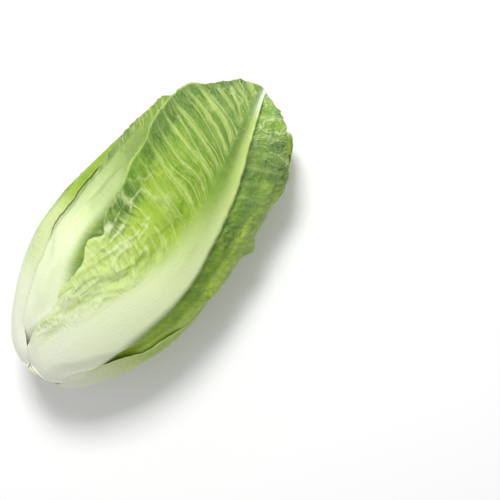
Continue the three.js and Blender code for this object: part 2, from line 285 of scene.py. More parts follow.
def measures(leaf, s):
    """The rib's angle, both spans in degrees, mm to a degree, and the rib's size at s."""
    half, high, _, _ = section(s)
    rib = along(leaf["rib"], s)
    open_share = openness(leaf, s)
    share = np.clip(s / leaf["tip"], 0, 1)
    wavy = EDGE_WAVE * np.sin(2 * np.pi * (s + leaf["tip"]) / EDGE_WAVE_LENGTH)
    return dict(
        rib=rib,
        open=open_share,
        left=(along(leaf["left"], s) - rib) * open_share * (1 + wavy),
        right=(rib - along(leaf["right"], s)) * open_share * (1 - wavy),
        arc=np.radians((half + high) / 2),
        rib_half=blend(leaf["rib_half"], share),
        rib_thick=blend(leaf["rib_thick"], share),
    )


def lay_of(leaf, s, angle):
    """Where a place lies: the leaf's measures, side, distance off the rib, rib and blade share."""
    m = measures(leaf, s)
    turn = (angle - m["rib"] + 180) % 360 - 180
    right = turn < 0
    off = np.abs(turn) * m["arc"]
    edge = np.where(right, m["right"], m["left"]) * m["arc"]
    (crest_left, crest_right), (foot_left, foot_right) = leaf.get("crest", PLAIN_CREST)
    top = m["rib_half"] * np.where(right, crest_right, crest_left)
    foot = m["rib_half"] * np.where(right, foot_right, foot_left)
    crest = 1 - smooth(top, foot, off)
    blade = np.maximum(edge - m["rib_half"], LEAST_BLADE)
    out = np.clip((off - m["rib_half"]) / blade, 0, 1)
    return m, right, off, crest, out


def profile(leaf, s, angle):
    """Depth of the leaf's outer face under the room it has, and its thickness."""
    m, right, _, crest, out = lay_of(leaf, s, angle)
    sink = np.where(right, leaf["sink"][1], leaf["sink"][0])
    rise = np.where(right, leaf["rise"][1], leaf["rise"][0])
    sunk = sink * (1 - crest) * (1 - rise * out**RISE_CURVE)
    ripple = 1 + np.sin(2 * np.pi * s / leaf["wave"] + 2 * right)
    ruffled = leaf["ruffle"] * smooth(RUFFLE_START, 1, out) * ripple
    settled = smooth(0, ROOT_SETTLE, s) * smooth(0, TIP_SETTLE, m["open"])
    return (sunk + ruffled) * settled, BLADE + (m["rib_thick"] - BLADE) * crest


def cover(leaf, s, angle):
    """How fully a leaf covers a place: 1 under it, fading to 0 past its edges."""
    m = measures(leaf, s)
    turn = (angle - m["rib"] + 180) % 360 - 180
    past = np.where(turn >= 0, turn - m["left"], -turn - m["right"]) * m["arc"]
    beside = 1 - smooth(EDGE_HOLD, EDGE_HOLD + FADE, past)
    beyond = 1 - smooth(EDGE_HOLD, EDGE_HOLD + TIP_FADE, s - leaf["tip"])
    return beside * beyond


def faces(index, s, angle):
    """Depth of a leaf's outer face with all outer leaves over it, and its thickness."""
    depth = np.zeros_like(s)
    covered = np.zeros_like(s)
    for outer_leaf in LEAVES[:index]:
        part = cover(outer_leaf, s, angle)
        outer, thick = profile(outer_leaf, s, angle)
        depth += part * (np.maximum(outer, 0) + thick + outer_leaf.get("gap", LEAF_GAP))
        covered = np.maximum(covered, part)
    outer, thick = profile(LEAVES[index], s, angle)
    return depth + np.where(outer < 0, outer * (1 - covered), outer), thick, covered


for leaf in VISIBLE_LEAVES:
    halfway = measures(leaf, leaf["tip"] / 2)
    print(leaf["name"], "has a rib", round(2 * float(halfway["rib_half"]), 1), "mm wide half way up")

# %% [markdown]
# ## Where the leaves grow from the stem
#
# A leaf's root ends just outside the stem. The place is found for each column of points
# by coming down the leaf until its inner face would touch the stem.

# %% Roots on the stem
BUTT_RADIUS = 10.5
STEM_STRAIGHT = 10
STEM_TOP = 52
STEM_TOP_RADIUS = 1.5
ROOT_GAP = 0.6
ROOT_LIMIT = 80
ROOT_STEP = 0.5
ROOT_REACH = 7


def stem_radius(x):
    """The stem's radius at a distance from the butt."""
    share = np.clip((x - STEM_STRAIGHT) / (STEM_TOP - STEM_STRAIGHT), 0, 1)
    return BUTT_RADIUS + (STEM_TOP_RADIUS - BUTT_RADIUS) * share


def column_angle(leaf, s, share):
    """Angle of a column at s. share runs from the rib, 0, to an edge, -1 or 1."""
    m = measures(leaf, s)
    return m["rib"] + share * np.where(share < 0, m["right"], m["left"])


def root_places(index, shares):
    """The place nearest the butt where each column is still clear of the stem."""
    steps = np.arange(ROOT_LIMIT, BUTT_PLACE - ROOT_STEP, -ROOT_STEP)
    s, share = np.meshgrid(steps, shares, indexing="ij")
    angle = column_angle(LEAVES[index], s, share)
    outer, thick, _ = faces(index, s, angle)
    inner = in_heart(s, angle, outer + thick)
    touching = np.hypot(inner[..., 1], inner[..., 2]) <= stem_radius(inner[..., 0]) + ROOT_GAP
    touching[-1] = True
    root = steps[np.argmax(touching, axis=0)] + ROOT_STEP
    reach = max(1, round(len(shares) / ROOT_REACH / 2))
    padded = np.pad(root, reach, mode="edge")
    return np.max(np.lib.stride_tricks.sliding_window_view(padded, 2 * reach + 1), axis=1)


print("the front leaf's middle root, from the butt:", root_places(2, np.array([0.0])), "mm")

# %% [markdown]
# ## Repeatable randomness
#
# Growth is uneven, so veins, blisters and teeth need some chance in them. All of it comes
# from one table of random numbers with a fixed seed, so every run gives the same leaves.
# Three patterns are drawn from the table: soft waves along a line, soft clouds over a
# plane, and cells with borders between them.

# %% Patterns from a fixed table of random numbers
SEED = 23
LAYERS = 6
TABLE = 256
DICE = np.random.default_rng(SEED).random((LAYERS, TABLE, TABLE))
WAVE_ROW = 7


def waves(x, layer):
    """Soft random waves along one direction, from -1 to 1, one swing to a unit or so."""
    i = np.floor(x).astype(int)
    t = x - i
    a, b = DICE[layer, WAVE_ROW, i % TABLE], DICE[layer, WAVE_ROW, (i + 1) % TABLE]
    return 2 * (a + (b - a) * t * t * (3 - 2 * t)) - 1


def clouds(x, y, layer):
    """Soft random clouds over a plane, from -1 to 1."""
    i, j = np.floor(x).astype(int), np.floor(y).astype(int)
    t, u = x - i, y - j
    t, u = t * t * (3 - 2 * t), u * u * (3 - 2 * u)
    i, j, next_i, next_j = i % TABLE, j % TABLE, (i + 1) % TABLE, (j + 1) % TABLE
    near = DICE[layer, i, j] * (1 - t) + DICE[layer, next_i, j] * t
    far = DICE[layer, i, next_j] * (1 - t) + DICE[layer, next_i, next_j] * t
    return 2 * (near + (far - near) * u) - 1


def cells(x, y, layer):
    """How far each point is from its cell's middle, and from the border to the next cell."""
    i, j = np.floor(x).astype(int), np.floor(y).astype(int)
    nearest = np.full(x.shape, 9.0)
    second = np.full(x.shape, 9.0)
    for di in (-1, 0, 1):
        for dj in (-1, 0, 1):
            a, b = (i + di) % TABLE, (j + dj) % TABLE
            across = x - (i + di + 0.1 + 0.8 * DICE[layer, a, b])
            upward = y - (j + dj + 0.1 + 0.8 * DICE[layer + 1, a, b])
            far = np.hypot(across, upward)
            second = np.where(far < nearest, nearest, np.minimum(second, far))
            nearest = np.minimum(nearest, far)
    return nearest, second - nearest


print("random numbers in the table:", DICE.size)

# %% [markdown]
# ## What a leaf carries on its form
#
# From the rib, side veins run out across the blade, first along the rib and then bending
# to the edge. Between them the soft tissue swells up as long blisters, strongly in some
# places and hardly in others. The edge is cut into small uneven teeth and ruffles up and
# down. Each is a height in millimetres, worked out for every point of the fine grid.

# %% How each leaf is veined, blistered and ruffled
# veins: spacing, height and width of the side veins
# vein_share: how strongly they show along the leaf, on the + and on the - side of the rib
# blisters, crumple and ruffle: height of each along the leaf, on both sides
# stand: how far the edge stands off the next leaf, on both sides
# shift: how far the leaf lies further out than its solid, on both sides
# tuck_from: where the blade begins to bend in towards the next leaf, as a share of its width
# hold: how firmly each edge clings to the next leaf, 0 loose and 1 flat on it
# flaps: side, place, half length, how far the edge swings out, and how far it lifts
# teeth: how far the teeth of the edge swing out and in
# ridge: height and half width of a ridge along the rib
# root_down: how far the root reaches past that of the solid, over the butt
# glints: place, distance off the rib, half length and half width of a patch of crumples whose crests are
# painted pale, as painted highlights
def both(*curve):
    """The same curve for both sides of the rib."""
    return curve, curve


PLAIN_LOOK = dict(
    veins=(11, 0.25, 0.9),
    vein_share=both((0, 1), (200, 1)),
    blisters=both((0, 0), (180, 0.4)),
    crumple=both((0, 0), (200, 0)),
    ruffle=both((0, 0), (180, 0.6)),
    stand=both((0, 0.8), (180, 1)),
    shift=both((0, 0), (200, 0)),
    tuck_from=both((0, 0.5), (200, 0.5)),
    hold=(0, 0),
    flaps=[],
    teeth=0.8,
    ridge=(0, 5),
    root_down=3,
)
LOOKS = {
    "leaf_front": dict(
        veins=(8.5, 1.0, 1.25),
        vein_share=(
            [(0, 0.4), (90, 0.7), (130, 1.1), (150, 1.5), (196, 1.6)],
            [(0, 0.3), (140, 0.3), (165, 0.7), (196, 0.8)],
        ),
        blisters=(
            [(0, 0), (45, 0.2), (70, 1.0), (100, 1.2), (125, 0.7), (160, 0.5), (196, 0.6)],
            [(0, 0), (40, 0.3), (80, 0.6), (110, 0.6), (150, 0.8), (196, 1.1)],
        ),
        crumple=(
            [(0, 0), (14, 0.8), (40, 2.0), (80, 1.8), (110, 1.1), (196, 0.8)],
            [(0, 0), (90, 0.3), (120, 0.8), (150, 1.1), (196, 1.5)],
        ),
        ruffle=(
            [(0, 0), (60, 0.5), (130, 0.35), (150, 1.2), (170, 2.2), (196, 1.6)],
            [(0, 0), (90, 0.2), (145, 0.5), (165, 1.8), (196, 1.8)],
        ),
        stand=([(0, 0.1), (50, 0.3), (80, 0.8), (196, 0.6)], [(0, 0.2), (196, 0.2)]),
        tuck_from=(
            [(0, 0.6), (70, 0.5), (100, 0.25), (196, 0.25)],
            [(0, 0.92), (100, 0.92), (130, 0.5), (196, 0.5)],
        ),
        flaps=[(0, 84, 3.2, -3, 0.3), (0, 76, 4, 1.2, 0.2), (1, 123, 5, 4, 4.5)],
        teeth=1.2,
        # painted highlights on the crests of the crumples
        glints=(90, 30, 26, 13),
    ),
    "leaf_left": dict(
        veins=(11, 0.2, 0.9),
        blisters=([(0, 0), (60, 0.1), (110, 0.5), (166, 0.6)], [(0, 0), (60, 0.2), (90, 0.5), (166, 0.5)]),
        ruffle=([(0, 0), (60, 0.2), (100, 1.2), (166, 1.2)], [(0, 0), (166, 0.3)]),
        stand=([(0, 0.1), (166, 0.4)], [(0, 0.2), (166, 0.2)]),
        shift=([(0, 0), (60, 0), (100, 1.2), (140, 1.2), (155, 0), (166, 0)], [(0, 0), (166, 0)]),
        tuck_from=([(0, 0.92), (130, 0.92), (166, 0.5)], [(0, 0.5), (166, 0.5)]),
        teeth=1.2,
        ridge=(1.3, 4.5),
        root_down=5,
    ),
    "leaf_outer_left": dict(
        blisters=([(0, 0), (60, 0.2), (152, 0.4)], [(0, 0), (40, 0.2), (80, 0.5), (152, 0.7)]),
        ruffle=([(0, 0), (152, 0.3)], [(0, 0), (45, 0.25), (90, 0.6), (110, 1.6), (152, 1.6)]),
        stand=([(0, 0.2), (152, 0.3)], [(0, 0.02), (152, 0.02)]),
        shift=([(0, 0), (152, 0)], [(0, 0), (68, 0), (95, 1.8), (125, 2.2), (152, 0.8)]),
        hold=(0, 1),
        teeth=1.8,
    ),
    "leaf_outer_right": dict(
        veins=(12, 0.25, 1.0),
        blisters=([(0, 0), (60, 0.15), (163, 0.5)], [(0, 0), (163, 0.4)]),
        ruffle=([(0, 0), (60, 0.1), (163, 0.5)], [(0, 0), (163, 0.3)]),
        stand=([(0, 0.02), (80, 0.05), (163, 0.3)], [(0, 0.2), (163, 0.3)]),
        hold=(0.9, 0),
        teeth=1.0,
    ),
    "leaf_behind_tip": dict(
        veins=(10, 0.4, 0.9),
        blisters=both((0, 0.2), (179, 0.6)),
        ruffle=both((0, 0), (120, 0.5), (179, 1.2)),
        stand=both((0, 0.3), (179, 0.5)),
        teeth=1.0,
    ),
    "leaf_back": dict(
        veins=(11, 0.4, 1.0),
        blisters=both((0, 0.1), (188, 0.6)),
        ruffle=both((0, 0), (120, 0.4), (188, 1.0)),
        stand=both((0, 0.3), (188, 0.5)),
        teeth=1.0,
    ),
}
print("leaves with a look of their own:", len(LOOKS))

# %% [markdown]
# ## Veins, folds and teeth
#
# Every pattern below is a formula over the leaf. A side vein is a ridge along a bent line,
# and a crease lies where soft clouds pass through zero. The two sides of a leaf read far
# apart places of the same clouds, so no leaf is a mirror image of itself.

# %% Veins, folds and teeth
RIB_SIDE = 0.8  # where the side veins leave the rib, as a share of its half width
VEIN_CLIMB = 4  # how far a side vein runs along the rib before it bends away
VEIN_BEND = 4
VEIN_SLOPE = 0.3  # how far it still climbs for each millimetre outwards
VEIN_WANDER = 2.2
VEIN_ROW = 20


def by_side(curves, right, s):
    """A value along the leaf that has one curve for each side of the rib."""
    return np.where(right, along(curves[1], s), along(curves[0], s))


def vein_line(s, off, past, right, layer):
    """Where on the rib the side vein through a point begins."""
    wander = VEIN_WANDER * clouds(s / 17 + 50 * right, off / 13, layer)
    return s - VEIN_CLIMB * (1 - np.exp(-past / VEIN_BEND)) - VEIN_SLOPE * past + wander


def side_veins(veins, line, past, right, layer):
    """Side veins: how high each point stands on one, from 0 to 1."""
    spacing, _, width = veins
    place = line / spacing
    row = DICE[layer, VEIN_ROW]
    best = np.zeros_like(line)
    for step in (-1, 0, 1):
        i = np.round(place).astype(int) + step
        middle = i + 0.5 * (row[(i + 90 * right) % TABLE] - 0.5)
        strength = 0.35 + 0.65 * row[(i + 33 + 90 * right) % TABLE]
        far = (place - middle) * spacing
        narrow = width * (1 - 0.4 * np.clip(past / 40, 0, 1))
        best = np.maximum(best, strength * np.exp(-((far / narrow) ** 2)))
    return best


def creased(x, y, layer):
    """Rounded folds with sharp creases between them, from 0 to 1."""
    return 1 - np.abs(clouds(x, y, layer)) ** 0.7


def crumples(s, off, right):
    """Crumpled tissue: long folds near the butt, short ones near the tip, fine ones on both."""
    bent = 0.7 * clouds(s / 12, off / 9 + 30 * right, 1)
    long_folds = creased(off / 4.2 + bent, s / 14 + 50 * right, 3)
    short_folds = creased(off / 5 + bent, s / 5.5 + 50 * right, 4)
    fine_folds = creased(off / 2.3 + bent, s / 3.4 + 20 * right, 2)
    return long_folds + (short_folds - long_folds) * smooth(85, 120, s) + 0.35 * fine_folds


def edge_teeth(s, row):
    """How far the edge swings, in heights of its teeth: broad lobes with small teeth on them."""
    lobes = waves(s / 9.5 + 13 * row, row)
    teeth = waves(s / 3.1 + 29 * row, row + 1)
    nicks = waves(s / 1.35 + 57 * row, row + 2)
    return 0.5 * lobes + 0.45 * teeth + 0.3 * nicks


swings = edge_teeth(np.arange(0, 200, 0.5), 0)
print("an edge swings out by up to", round(float(swings.max()), 2), "heights of its teeth")

# %% [markdown]
# ## How high it all stands
#
# The heights of veins, blisters, folds, crumples, ruffles and the ridge are added up for
# every point. The tissue is soft and swollen, while the rib and the strip along the edge
# stay calmer. What the material will need later, such as where the veins run, is kept.

# %% Relief of a leaf
FOLD_SHARE = 0.6
CRUMPLE_MIDDLE = 0.8  # crumples go in as well as out, so the leaf keeps its form
CELL_LENGTH = 7.5
CELL_WIDTH = 3.3
RUFFLE_LENGTH = 4.5
CALM_TO = 150  # up to here the strip along the edge is nearly without blisters


def relief(look, layer, s, lay):
    """How high all that a leaf carries stands, and the patterns that its material reads."""
    m, right, off, crest, out = lay
    past = np.maximum(off - RIB_SIDE * m["rib_half"], 0)
    line = vein_line(s, off, past, right, layer)
    vein = side_veins(look["veins"], line, past, right, layer) * by_side(look["vein_share"], right, s)
    vein *= (1 - crest) * smooth(15, 90, s) * (1 - 0.8 * smooth(0.6, 0.95, out))
    nearest, border = cells(line / CELL_WIDTH, off / CELL_LENGTH + 60 * right, layer)
    dome = smooth(0, 0.6, border) * (1 - 0.35 * nearest) * (1 - crest) * smooth(0.02, 0.15, out)
    swell = np.clip(0.75 + 0.9 * clouds(s / 15, off / 11 + 9 * right, 3), 0.1, 1.6)
    folds = creased(line / 4.2, off / 17 + 70 * right, 4) + 0.5 * creased(line / 2.1, off / 8, 3)
    folds *= FOLD_SHARE * (1 - crest) * smooth(0.05, 0.2, out)
    crumpled = crumples(s, off, right)
    soft = smooth(0.55, 1.1, off / m["rib_half"])
    tissue = by_side(look["blisters"], right, s) * (swell * dome + folds)
    tissue += by_side(look["crumple"], right, s) * (crumpled - CRUMPLE_MIDDLE) * soft
    tissue *= 1 - 0.8 * smooth(0.7, 0.85, out) * (s < CALM_TO)
    ruffle = 0.5 + 0.5 * waves(s / RUFFLE_LENGTH + 31 * right, layer)
    ruffle *= by_side(look["ruffle"], right, s) * smooth(0.7, 1, out)
    ridge, ridge_width = look["ridge"]
    ridged = ridge * np.exp(-((off / ridge_width) ** 2)) * smooth(20, 50, s)
    height = look["veins"][1] * vein + tissue + ruffle + ridged + by_side(look["shift"], right, s)
    return height, dict(line=line, vein=vein, dome=dome, swell=swell, crumpled=crumpled)


# %% [markdown]
# ## Where a leaf is white and where it is green
#
# Light makes a leaf green, so the ribs and everything near the butt stay white, and the
# blade darkens towards the tip. On the front leaf's right side the green is deeper, partly
# its own and partly painted shade, and a strip there is lightened by a painted reflection
# of the sky; the left leaf carries a painted shadow beside the front leaf's edge. Three
# numbers say it for every point: how pale it is, how deep its green is, and how much of
# the dull bloom, with painted sheen, lies on it. The front leaf is seen from close by, so
# its numbers are worked out finest.

# %% Pale, green and bloom on the front leaf, with painted shade and sheen
FRONT_GREEN = [(0, 0.2), (60, 0.3), (95, 0.45), (130, 0.68), (160, 0.9), (196, 0.95)]
# deep green of the right side: partly its own denser green, partly painted shade, as that side faces away
# from the lamp
FRONT_DEEP_AND_SHADE = [(0, 0.35), (50, 0.48), (80, 0.7), (110, 0.85), (150, 0.85), (196, 0.8)]


def front_tints(s, off, out, crest, right, cloud):
    """How pale, how deep green and how dull a point of the front leaf is, with painted shade and a painted
    sky reflection on its right side.
    """
    rib_half = 20 - 0.094 * s
    low = 0.86 - 0.86 * smooth(34, 125, s + 0.5 * off + 4 * cloud)
    streaks = smooth(-0.1, 0.7, clouds(off / 2.2, s / 16, 1)) * smooth(10, 30, s)
    low *= 1 - 0.5 * streaks
    bright = 1 - 0.9 * smooth(-0.9, 0.5, np.where(right, -off, off) / rib_half) * smooth(70, 150, s)
    crown = 1 - smooth(0.35, 1.05, off / rib_half)
    pale = np.where(right, crest * bright, crown * bright + (1 - crown) * low)

    edge_green = 0.6 * smooth(0.55, 0.75, out) * smooth(78, 92, s)
    edge_green *= 1 - 0.7 * smooth(98, 125, s)
    left = along(FRONT_GREEN, s) + edge_green + 0.08 * cloud
    # a strip out on the right blade is painted lighter and greyer: a painted reflection of the sky
    strip = smooth(0.3, 0.42, out) * (1 - smooth(150, 165, s)) * smooth(30, 45, s)
    patches = 0.1 * cloud + 0.22 * clouds(s / 7, off / 6, 1) * smooth(70, 120, s)
    # on the right side the deep green holds painted shade, and the strip is painted lighter
    green = np.where(right, along(FRONT_DEEP_AND_SHADE, s) - 0.35 * strip + patches, left)

    # bloom on the upper right side and near the tip on the left; on the strip it is painted sheen
    dull = 0.45 * smooth(100, 155, s) + 0.1 * strip * smooth(60, 100, s)
    return pale, green, np.where(right, dull, 0.3 * smooth(120, 185, s))


# %% Pale, green, and bloom with painted sheen, on every leaf
# How pale the rib is and the blade begins, from where to where the blade turns green, its
# green with what the tip and soft clouds add to it, and its bloom
INSIDE_TINTS = (1, 0.85, (20, 120), (0.1, 0.15, 0.05), 0)
OUTSIDE_TINTS = (0.9, 0.8, (10, 70), (0.3, 0.35, 0.1), 0.25)
BELLY_TINTS = (0.8, 0.85, (8, 55), (0.25, 0.25, 0.1), 0.3)
PLAIN_TINTS = {
    "leaf_outer_right": BELLY_TINTS,
    "leaf_back": OUTSIDE_TINTS,
    "leaf_behind_tip": OUTSIDE_TINTS,
}


def tints(name, s, off, out, crest, right):
    """How pale, how deep green and how dull a point of a leaf is, each from 0 to 1."""
    cloud = clouds(s / 26, off / 14 + 20 * right, 2)
    rising = smooth(25, 120, s)
    if name == "leaf_front":
        pale, green, bloom_and_sheen = front_tints(s, off, out, crest, right, cloud)
    elif name == "leaf_left":
        # the right side turns deep green next to the front leaf's edge: partly the blade's own green,
        # partly a painted shadow cast by that edge
        beside = 0.95 * smooth(4.5, 12, off) * smooth(36, 68, s)
        pale = np.where(right, 1 - beside, 1 - 0.85 * smooth(60, 120, s) * smooth(4, 12, off))
        pale *= 1 - 0.4 * smooth(70, 100, s) - 0.35 * smooth(100, 130, s)
        green = 0.4 + 0.45 * rising + 0.12 * cloud + 0.25 * right * smooth(6, 14, off)
        bloom_and_sheen = 0 * s
    elif name == "leaf_outer_left":
        pale = 0.98 * (1 - smooth(35, 95, s + 14 * cloud))
        green = 0.25 + 0.3 * rising + 0.2 * cloud
        bloom_and_sheen = 0.1 + 0 * s
    else:
        rib, blade, turning, (least, high, patchy), dull = PLAIN_TINTS.get(name, INSIDE_TINTS)
        pale = np.maximum(rib * crest, blade * (1 - smooth(*turning, s)))
        green = least + high * rising + patchy * cloud
        bloom_and_sheen = dull + 0 * s
    return [np.clip(share, 0, 1) for share in (pale, green, bloom_and_sheen)]


sample = tints("leaf_front", np.array([60.0, 180.0]), np.array([30.0, 30.0]), 0.5, 0, False)
print("pale, green and bloom of the front blade, low and high:", np.round(sample, 2).tolist())

# %% [markdown]
# ## A slab to start from
#
# A flat grid is added, as wide as it is long, and extruded into a slab. So the leaf has
# an outer face, an inner face and a rim from the start, and stays one closed skin. The
# numbers that the material reads are kept with its points, as attributes.

# %% A slab to start from
SMOOTH_ANGLE = math.radians(50)


def slab(name, rows, across):
    """A grid extruded into a thin closed slab, two units wide."""
    bpy.ops.mesh.primitive_grid_add(x_subdivisions=rows, y_subdivisions=across, size=2)
    piece = bpy.context.object
    piece.name = name
    piece.data.name = name
    bpy.ops.object.mode_set(mode="EDIT")
    bpy.ops.mesh.select_all(action="SELECT")
    bpy.ops.mesh.extrude_region_move(TRANSFORM_OT_translate={"value": (0, 0, 1)})
    bpy.ops.mesh.select_all(action="SELECT")
    bpy.ops.mesh.normals_make_consistent(inside=False)
    bpy.ops.object.mode_set(mode="OBJECT")
    bpy.ops.object.shade_smooth_by_angle(angle=SMOOTH_ANGLE)
    return piece


def points_of(piece):
    """All points of a mesh as an array."""
    flat = np.empty(3 * len(piece.data.vertices))
    piece.data.vertices.foreach_get("co", flat)
    return flat.reshape(-1, 3)


def put_number(piece, name, values):
    """Keeps a number for each point."""
    made = piece.data.attributes.new(name, "FLOAT", "POINT")
    made.data.foreach_set("value", values.astype(np.float32))


def put_place(piece, name, x, y):
    """Keeps a place on the leaf for each point, in millimetres."""
    made = piece.data.attributes.new(name, "FLOAT_VECTOR", "POINT")
    made.data.foreach_set("vector", np.stack([x, y, 0 * x], axis=-1).ravel().astype(np.float32))


# %% What a leaf's material reads
def put_marks(piece, name, look, s, lay, marks):
    """Keeps with each point where it lies, how it is tinted and which patterns it carries."""
    m, right, off, crest, out = lay
    aside = np.where(right, -off, off)
    put_place(piece, "lay", s, aside)
    put_place(piece, "flow", marks["line"], aside)
    pale, green, bloom_and_sheen = tints(name, s, off, out, crest, right)
    # in the glints patch the crests of the crumples are painted pale: painted highlights
    if "glints" in look:
        place, middle, half_length, half_width = look["glints"]
        patch = np.exp(-(((s - place) / half_length) ** 2) - ((off - middle) / half_width) ** 2)
        pale = np.maximum(pale, 0.95 * ~right * patch * smooth(0.75, 1.1, marks["crumpled"]))
    lace = 0.8 * smooth(155, 180, s) * right + 0.4 * smooth(165, 185, s) * ~right
    thread = np.where(right, 0.15, 1 - 0.6 * smooth(0.6, 0.8, out)) * (0.5 + 0.5 * marks["swell"])
    thread *= smooth(0.5, 1, off / m["rib_half"]) * smooth(10, 30, s)
    numbers = dict(
        vein=np.clip(marks["vein"], 0, 1),
        dome=marks["dome"],
        lace=lace * (name == "leaf_front"),
        thread=thread,
        pale=pale,
        green=green,
        bloom_and_sheen=bloom_and_sheen,
        rim=smooth(0.955, 0.99, out) * (1 - pale),
    )
    for title, values in numbers.items():
        put_number(piece, title, values)


# %% [markdown]
# ## From root to tip and from edge to edge
#
# One direction of the grid runs from root to tip, the other from edge to edge. The roots
# reach a little further down than those of the solids, so that they close over the butt.
# The teeth and flaps swing the edge out and in.

# %% From root to tip and from edge to edge
TIP_END = 0.988
TIP_CORNER = 0.03  # how much earlier the leaf ends at its edges than in its middle
LOW_ROOTED = ("leaf_front", "leaf_left", "leaf_outer_left", "leaf_outer_right")
LOWEST_ROOT = 5
ROOT_CORNER = 0.8
TEETH_START = 0.72


def lengthways(index, look, share, up, across):
    """How far each point, and the root of its column, is from the butt."""
    leaf = LEAVES[index]
    columns = np.linspace(-1, 1, across + 1)
    root = root_places(index, columns)
    if leaf["name"] in LOW_ROOTED:
        root = np.minimum(root, LOWEST_ROOT)
    root = root - look["root_down"] * (1 - smooth(5, 16, root))
    root = np.interp(share, columns, root) + ROOT_CORNER * share**4
    end = leaf["tip"] * (TIP_END - TIP_CORNER * share**4)
    return root + (end - root) * up, root


def crossways(leaf, look, s, share, layer):
    """The angle of each point, with teeth and flaps, and how far the flaps lift it."""
    right = share < 0
    swing = look["teeth"] * edge_teeth(s, np.where(right, 0, 1) + layer) * smooth(5, 40, s)
    lifted = np.zeros_like(s)
    for side, place, half, out_by, lift_by in look["flaps"]:
        here = (right == bool(side)) * np.exp(-(((s - place) / half) ** 2))
        swing += out_by * here
        lifted += lift_by * here
    swing *= np.sign(share) * smooth(TEETH_START, 1, np.abs(share))
    return column_angle(leaf, s, share) + swing / measures(leaf, s)["arc"], lifted


# %% [markdown]
# ## Edges that lie on the next leaf
#
# A real leaf clings to the one under it. So the edge and the tip bend in until they nearly
# touch the next leaf, and where there is none, by a little. Near the butt every point is
# kept clear of the stem.

# %% Edges that lie on the next leaf
TIP_TUCK_START = 0.84
MOST_TUCK = 5
NOTHING_UNDER = 1.5  # how far an edge bends in where no leaf is under it
LEAVES_UNDER = 5
FULL_COVER = 0.97
INNER_AIR = 0.15  # between the stem and the inner face of a leaf
OUTER_AIR = 0.85


def next_leaf_depth(index, s, angle, own):
    """Depth of the outermost leaf that lies under a place on this one."""
    nearest = own + NOTHING_UNDER
    for below in range(index + 1, min(index + 1 + LEAVES_UNDER, len(LEAVES))):
        outer, _, _ = faces(below, s, angle)
        there = cover(LEAVES[below], s, angle) > FULL_COVER
        nearest = np.where(there, np.minimum(nearest, outer), nearest)
    return nearest


def tuck(index, look, s, angle, own, right, out):
    """How far the edges and the tip bend in. own is the depth of the leaf's inner face."""
    room = next_leaf_depth(index, s, angle, own) - own - by_side(look["stand"], right, s)
    to_edge = smooth(by_side(look["tuck_from"], right, s), 1, out)
    to_tip = smooth(TIP_TUCK_START, 1, s / LEAVES[index]["tip"])
    return np.clip(room, 0, MOST_TUCK) * np.maximum(to_edge, to_tip)


def off_the_stem(points, inside):
    """Points kept clear of the stem, which stands along X, the outer face more than the inner."""
    beside = points[:, 0] < STEM_TOP
    least = stem_radius(points[:, 0]) * beside + np.where(inside, INNER_AIR, OUTER_AIR)
    spread = np.maximum(1, least / np.maximum(np.hypot(points[:, 1], points[:, 2]), 0.1))
    points[:, 1] *= spread
    points[:, 2] *= spread
    return points


# %% [markdown]
# ## Making the leaves
#
# Each leaf's slab is moved, point by point, to its place on the heart. Its depth comes
# from the form and the leaves outside it, less what stands on it, and the inner face lies
# one thickness deeper. An edge that clings is thinned, so that it meets the next leaf
# without a step.

# %% Making a leaf
FINE_BLADE = 0.5
THIN_EDGE = 0.35  # how much thinner a blade is along an edge that clings
ROOT_TUCK = 2.2
ROOT_TUCK_LENGTH = 10


def make_leaf(index, rows, across):
    """One leaf as a fine closed skin over its solid."""
    leaf = LEAVES[index]
    look = PLAIN_LOOK | LOOKS.get(leaf["name"], {})
    layer = index % 3
    piece = slab(leaf["name"] + "_skin", rows, across)
    grid = points_of(piece)
    share = grid[:, 1]
    inside = grid[:, 2] < 0.5
    s, root = lengthways(index, look, share, (grid[:, 0] + 1) / 2, across)
    angle, lifted = crossways(leaf, look, s, share, layer)

    outer, thick, covered = faces(index, s, angle)
    lay = lay_of(leaf, s, angle)
    m, right, _, crest, out = lay
    thick = thick - (BLADE - FINE_BLADE) * (1 - crest)
    height, marks = relief(look, layer, s, lay)
    hold_left, hold_right = look["hold"]
    hold = np.where(right, hold_right, hold_left) * smooth(0.85, 0.98, out)
    settled = smooth(4, ROOT_SETTLE, s) * smooth(0, 0.5, m["open"])
    raised = height * (1 - hold) * settled * (1 - covered) ** 2 + lifted * smooth(0.7, 1, out)

    tucked = tuck(index, look, s, angle, outer + thick, right, out)
    root_tuck = ROOT_TUCK * np.clip(1 - (s - root) / ROOT_TUCK_LENGTH, 0, 1) ** 2
    depth = outer + tucked + root_tuck - raised + np.where(inside, thick, THIN_EDGE * hold)
    places = in_metres(off_the_stem(in_heart(s, angle, depth), inside))
    places[:, 2] = np.maximum(places[:, 2], cad_box[0][2])
    piece.data.vertices.foreach_set("co", places.ravel())
    piece.data.update()
    put_marks(piece, leaf["name"], look, s, lay, marks)
    return piece


# %% Make all leaves
PLAIN_SIZE = (70, 40, "inner_leaf")
SIZES = {
    "leaf_front": (260, 150, "front_leaf"),
    "leaf_left": (220, 120, "pale_leaf"),
    "leaf_outer_left": (200, 120, "outer_leaf"),
    "leaf_outer_right": (200, 130, "outer_leaf"),
    "leaf_behind_tip": (170, 80, "front_leaf"),
    "leaf_back": (190, 90, "outer_leaf"),
}
skins = []
for index, leaf in enumerate(LEAVES):
    rows, across, slot_name = SIZES.get(leaf["name"], PLAIN_SIZE)
    skin = make_leaf(index, rows, across)
    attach(skin, "root")
    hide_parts(leaf["name"])
    skins.append(skin)
print("leaves made:", len(skins), "faces:", sum(len(skin.data.polygons) for skin in skins))

